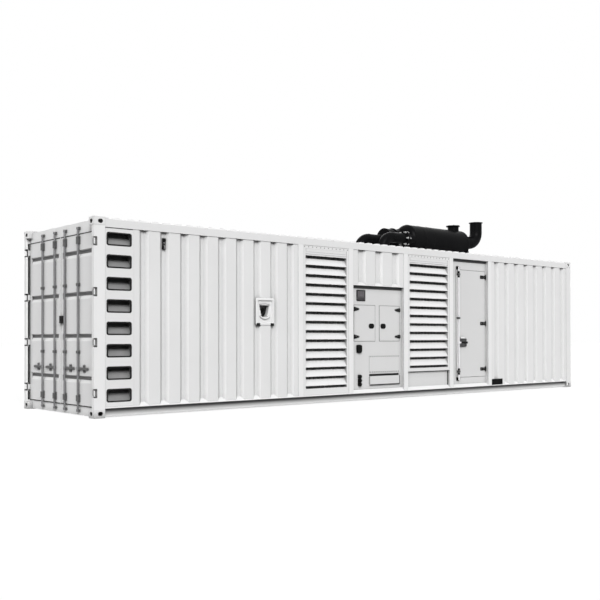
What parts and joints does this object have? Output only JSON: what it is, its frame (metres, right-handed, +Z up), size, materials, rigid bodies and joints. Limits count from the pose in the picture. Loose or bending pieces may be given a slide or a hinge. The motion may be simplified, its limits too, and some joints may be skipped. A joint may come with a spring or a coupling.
{
  "type": "containerised diesel generator set",
  "caption": "Walk-in steel container housing for a diesel generator set, with hinged doors, air louvres, a control bay and a roof exhaust silencer.",
  "frame": {"origin": "ground level, at the centre of the four bottom corner castings", "axes": "+X along the length away from the cargo doors, -Y towards the control side, +Z up"},
  "size_m": [12.192, 2.438, 3.785],
  "materials": {
    "enclosure_paint": "semi-gloss off-white enamel",
    "underframe_paint": "matt dark underframe coating",
    "floor_steel": "worn dark floor paint",
    "dark_paint": "matt dark grey",
    "dark_steel": "dark zinc-phosphate steel",
    "zinc_steel": "dull galvanised",
    "black_plastic": "black glass-filled nylon",
    "exhaust_black": "matt heat-resistant black",
    "display_glass": "dark smoked window",
    "cabinet_paint": "light grey powder coat"
  },
  "bodies": {
    "container": {"bottom_castings": "enclosure_paint", "top_castings": "enclosure_paint", "door_end_posts": "enclosure_paint", "far_end_posts": "enclosure_paint", "bottom_rails": "enclosure_paint", "top_rails": "enclosure_paint", "cross_members": "underframe_paint", "floor_plate": "floor_steel", "roof_panel": "enclosure_paint", "door_header": "enclosure_paint", "door_sill": "enclosure_paint", "far_end_header": "enclosure_paint", "far_end_sill": "enclosure_paint", "far_end_wall": "enclosure_paint", "vent_panels": "enclosure_paint", "vent_slats": "dark_paint", "front_wall_a": "enclosure_paint", "front_wall_b": "enclosure_paint", "front_mullions": "enclosure_paint", "front_louvres": "enclosure_paint", "kick_panel": "enclosure_paint", "rear_walls": "enclosure_paint", "rear_mullions": "enclosure_paint", "rear_louvres": "enclosure_paint", "bay_upper_panel": "enclosure_paint", "bay_ledge": "enclosure_paint", "control_panel": "enclosure_paint", "control_cabinet": "cabinet_paint", "control_hinges": "black_plastic", "display_window": "display_glass", "panel_sockets": "black_plastic", "cable_cover": "enclosure_paint", "door_frame": "enclosure_paint", "personnel_hinges": "black_plastic", "personnel_keepers": "dark_steel", "fuel_box": "enclosure_paint", "fuel_filler": "black_plastic", "drain_box": "black_plastic", "door_holdback": "black_plastic", "cargo_hinges": "dark_steel", "rod_keepers": "dark_steel", "silencer": "exhaust_black", "exhaust_inlets": "exhaust_black", "exhaust_outlet": "exhaust_black", "silencer_saddles": "exhaust_black"},
    "cargo_door_left": {"cargo_door_left": "enclosure_paint", "rod_brackets_left": "dark_steel"},
    "cargo_door_right": {"cargo_door_right": "enclosure_paint", "rod_brackets_right": "dark_steel"},
    "lock_rod_1": {"lock_rod_1": "zinc_steel"},
    "lock_rod_2": {"lock_rod_2": "zinc_steel"},
    "lock_rod_3": {"lock_rod_3": "zinc_steel"},
    "lock_rod_4": {"lock_rod_4": "zinc_steel"},
    "personnel_door": {"personnel_door": "enclosure_paint", "rod_guides": "dark_steel"},
    "personnel_rod": {"personnel_rod": "enclosure_paint"},
    "control_door_left": {"control_door_left": "enclosure_paint"},
    "control_door_right": {"control_door_right": "enclosure_paint"},
    "control_lock_left": {"control_lock_left": "black_plastic"},
    "control_lock_right": {"control_lock_right": "black_plastic"}
  },
  "joints": [
    {"name": "cargo_door_left_swing", "type": "hinge", "parent": "container", "child": "cargo_door_left", "pos_m": [-6.084, 1.207, 1.4], "axis": [0, 0, -1], "range_deg": [0, 270]},
    {"name": "cargo_door_right_swing", "type": "hinge", "parent": "container", "child": "cargo_door_right", "pos_m": [-6.084, -1.207, 1.4], "axis": [0, 0, 1], "range_deg": [0, 270]},
    {"name": "lock_rod_1_turn", "type": "hinge", "parent": "cargo_door_left", "child": "lock_rod_1", "pos_m": [-6.05, 0.62, 1.4], "axis": [0, 0, -1], "range_deg": [-100, 0]},
    {"name": "lock_rod_2_turn", "type": "hinge", "parent": "cargo_door_left", "child": "lock_rod_2", "pos_m": [-6.05, 0.177, 1.4], "axis": [0, 0, -1], "range_deg": [-100, 0]},
    {"name": "lock_rod_3_turn", "type": "hinge", "parent": "cargo_door_right", "child": "lock_rod_3", "pos_m": [-6.05, -0.177, 1.4], "axis": [0, 0, 1], "range_deg": [-100, 0]},
    {"name": "lock_rod_4_turn", "type": "hinge", "parent": "cargo_door_right", "child": "lock_rod_4", "pos_m": [-6.05, -0.62, 1.4], "axis": [0, 0, 1], "range_deg": [-100, 0]},
    {"name": "personnel_door_swing", "type": "hinge", "parent": "container", "child": "personnel_door", "pos_m": [2.964, -1.169, 1.4], "axis": [0, 0, 1], "range_deg": [0, 110]},
    {"name": "personnel_rod_turn", "type": "hinge", "parent": "personnel_door", "child": "personnel_rod", "pos_m": [2.056, -1.193, 1.4], "axis": [0, 0, 1], "range_deg": [-95, 0]},
    {"name": "control_door_left_swing", "type": "hinge", "parent": "container", "child": "control_door_left", "pos_m": [-0.889, -1.166, 1.4], "axis": [0, 0, -1], "range_deg": [0, 110]},
    {"name": "control_door_right_swing", "type": "hinge", "parent": "container", "child": "control_door_right", "pos_m": [0.335, -1.166, 1.4], "axis": [0, 0, 1], "range_deg": [0, 110]},
    {"name": "control_lock_left_turn", "type": "hinge", "parent": "control_door_left", "child": "control_lock_left", "pos_m": [-0.432, -1.159, 1.366], "axis": [0, -1, 0], "range_deg": [0, 90]},
    {"name": "control_lock_right_turn", "type": "hinge", "parent": "control_door_right", "child": "control_lock_right", "pos_m": [-0.122, -1.159, 1.366], "axis": [0, -1, 0], "range_deg": [-90, 0]}
  ]
}
